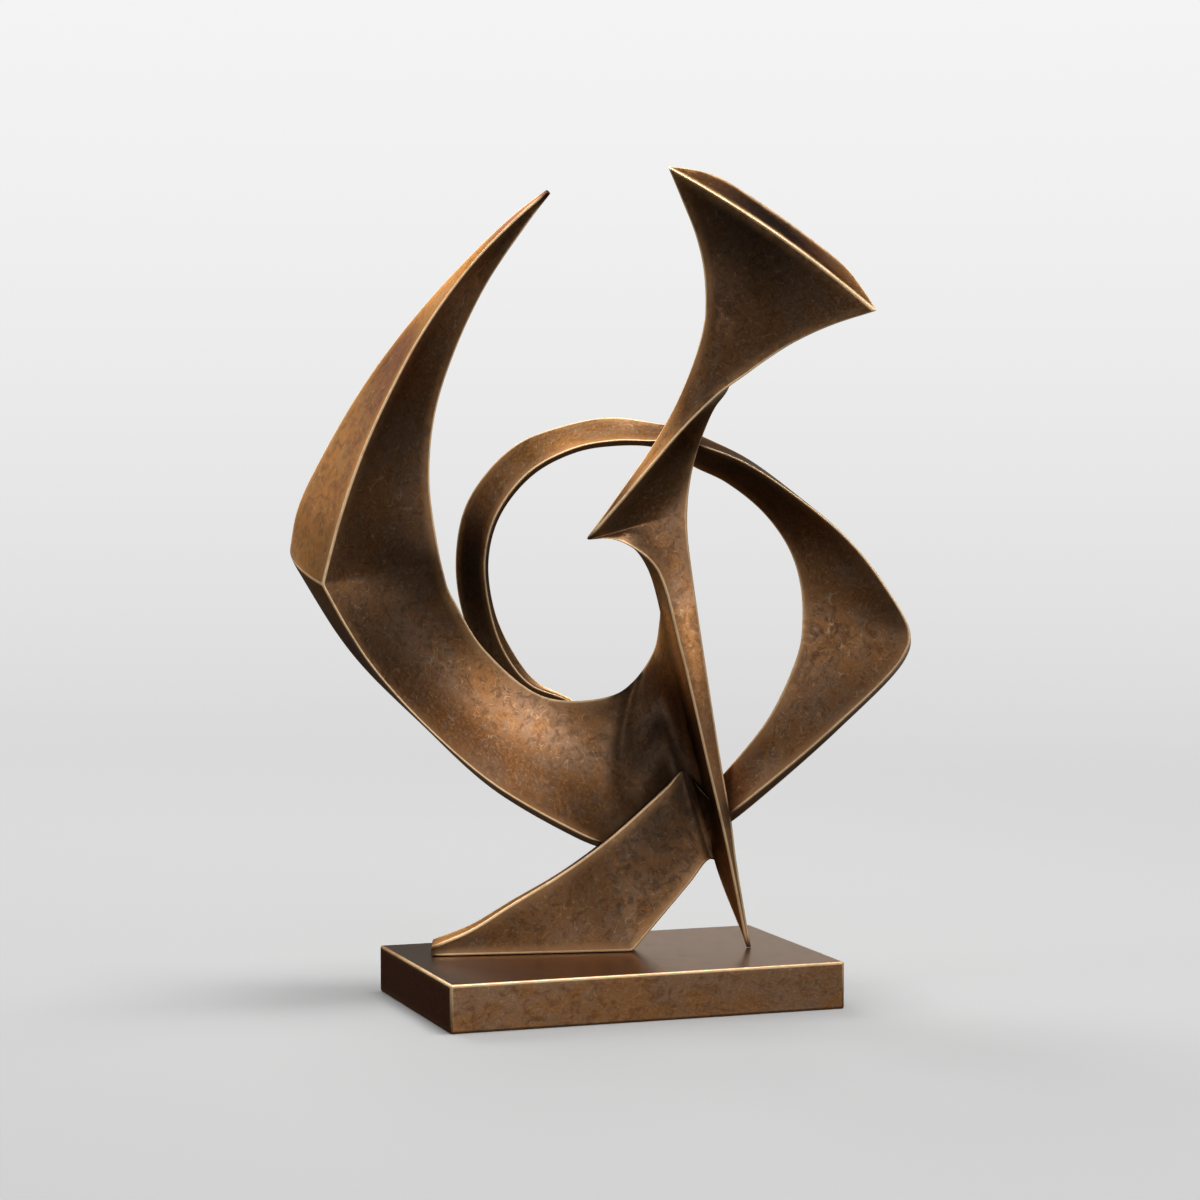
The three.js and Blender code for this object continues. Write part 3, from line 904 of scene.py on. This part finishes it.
def paperMaterial():
    paper = bpy.data.materials.new("palePaper")
    nodes = Nodes(paper)
    axes = nodes.add("ShaderNodeSeparateXYZ")
    nodes.link(nodes.placed(), axes.inputs[0])
    across, deep = (nodes.times(axes.outputs[i], axes.outputs[i]) for i in range(2))
    outwards = nodes.math("SQRT", nodes.math("ADD", across, deep))
    lit = nodes.add("ShaderNodeBsdfDiffuse")
    lit.inputs["Color"].default_value = stage["paper"]
    glow = nodes.add("ShaderNodeEmission")  # the far paper has its own even light
    climb = nodes.math("ADD", outwards, axes.outputs[2])
    nodes.link(nodes.ramp(climb, *stage["glowClimb"], *stage["glow"]), glow.inputs["Strength"])
    both = nodes.add("ShaderNodeMixShader")
    nodes.link(nodes.ramp(outwards, *stage["fade"]), both.inputs[0])
    nodes.link(lit.outputs[0], both.inputs[1])
    nodes.link(glow.outputs[0], both.inputs[2])
    nodes.link(both.outputs[0], nodes.output.inputs["Surface"])
    paper.cycles.emission_sampling = "NONE"
    return paper


def makeStage():  # a round paper sweep, so that every side has the same pale ground
    bm = bmesh.new()
    bend, parts = stage["bend"], stage["bendParts"]
    flat = stage["radius"] - bend
    profile = [(radius, 0.0) for radius in (*stage["rings"], flat)]
    for k in range(1, parts + 1):
        turn = math.pi / 2 * k / parts
        profile.append((flat + bend * math.sin(turn), bend * (1 - math.cos(turn))))
    profile.append((stage["radius"], stage["height"]))
    verts = [bm.verts.new((radius, 0, height)) for radius, height in profile]
    edges = [bm.edges.new(pair) for pair in zip(verts, verts[1:])]
    bmesh.ops.spin(
        bm, geom=verts + edges, cent=(0, 0, 0), axis=(0, 0, 1), angle=2 * math.pi,
        steps=stage["turnParts"], use_merge=True, use_duplicate=False,
    )
    bmesh.ops.remove_doubles(bm, verts=bm.verts, dist=1e-5)
    bmesh.ops.recalc_face_normals(bm, faces=bm.faces)
    for face in bm.faces:
        face.smooth = True
    floor = addPiece("studioFloor", bm)
    floor.visible_glossy = False  # the bronze mirrors the lamps, not the paper
    floor.visible_diffuse = False
    floor.data.materials.append(paperMaterial())
    floor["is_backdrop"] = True


makeStage()


def facing(across, depth, height):  # a direction of the casting's own frame
    return Matrix.Rotation(math.radians(casting["turn"]), 3, "Z") @ Vector((across, depth, height))


lamps = {
    "distance": 2.6,
    "aim": (0, 0, 0.22),
    "box": (1.4, 1.4),
    "strip": (0.4, 2.0),
    "boxes": {  # direction from the work, and watts
        "overhead": ((0.21, 0.0, 0.98), 90),
        "rearTop": ((-0.34, 0.66, 0.67), 38),
        "leftRearHigh": ((-0.77, 0.45, 0.46), 11),
        "leftRearLow": ((-0.64, 0.76, 0.16), 8),
        "frontHigh": ((0.26, -0.83, 0.5), 5),
        "frontRight": ((0.73, -0.62, 0.28), 7),
        "right": ((0.99, -0.13, 0.1), 3),
        "leftFront": ((-0.75, -0.31, 0.59), 3),
        "rear": ((0.22, 0.98, 0.06), 3),
        "rightTop": ((0.55, 0.35, 0.76), 9),
    },
    "strips": {  # tall and narrow, for the lines of light along the edges
        "stripLeft": ((-0.93, -0.36, 0.1), 7.5),
        "stripFrontLeft": ((-0.48, -0.87, 0.1), 7.5),
        "stripRight": ((0.45, -0.89, 0.1), 7.5),
    },
}


def makeLamp(name, direction, size, watts):
    aim = facing(*lamps["aim"])
    lamp = bpy.data.lights.new(name, "AREA")
    lamp.shape = "RECTANGLE"
    lamp.size, lamp.size_y = size
    lamp.energy = watts
    light = bpy.data.objects.new(name, lamp)
    bpy.context.scene.collection.objects.link(light)
    light.location = aim + facing(*direction).normalized() * lamps["distance"]
    light.rotation_euler = (aim - light.location).to_track_quat("-Z", "Y").to_euler()
    light.visible_camera = False


for kind, size in (("boxes", lamps["box"]), ("strips", lamps["strip"])):
    for name, (direction, watts) in lamps[kind].items():
        makeLamp(name, direction, size, watts)
    print(len(lamps[kind]), "lamps,", kind)

world = bpy.data.worlds.new("studio")
bpy.context.scene.world = world
world.use_nodes = True
world.node_tree.nodes["Background"].inputs["Color"].default_value = (1, 1, 1, 1)
world.node_tree.nodes["Background"].inputs["Strength"].default_value = stage["roomLight"]
bpy.context.scene.view_settings.view_transform = "Standard"

view = {
    "place": (-0.5702, -1.6042, 0.3075),
    "pitch": 3.12,  # degrees down
    "heading": -19.41,
    "lens": 96,
    "sensor": 36,
}
camera = bpy.data.objects.new("camera", bpy.data.cameras.new("camera"))
bpy.context.scene.collection.objects.link(camera)
camera.data.lens = view["lens"]
camera.data.sensor_width = view["sensor"]
camera.location = view["place"]
camera.rotation_euler = (math.radians(90 - view["pitch"]), 0, math.radians(view["heading"]))
bpy.context.scene.camera = camera
print("camera", view["lens"], "mm")


def plain(box):
    return [[float(value) for value in corner] for corner in box]


{"cad": plain(cadBox), "visual": plain(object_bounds())}
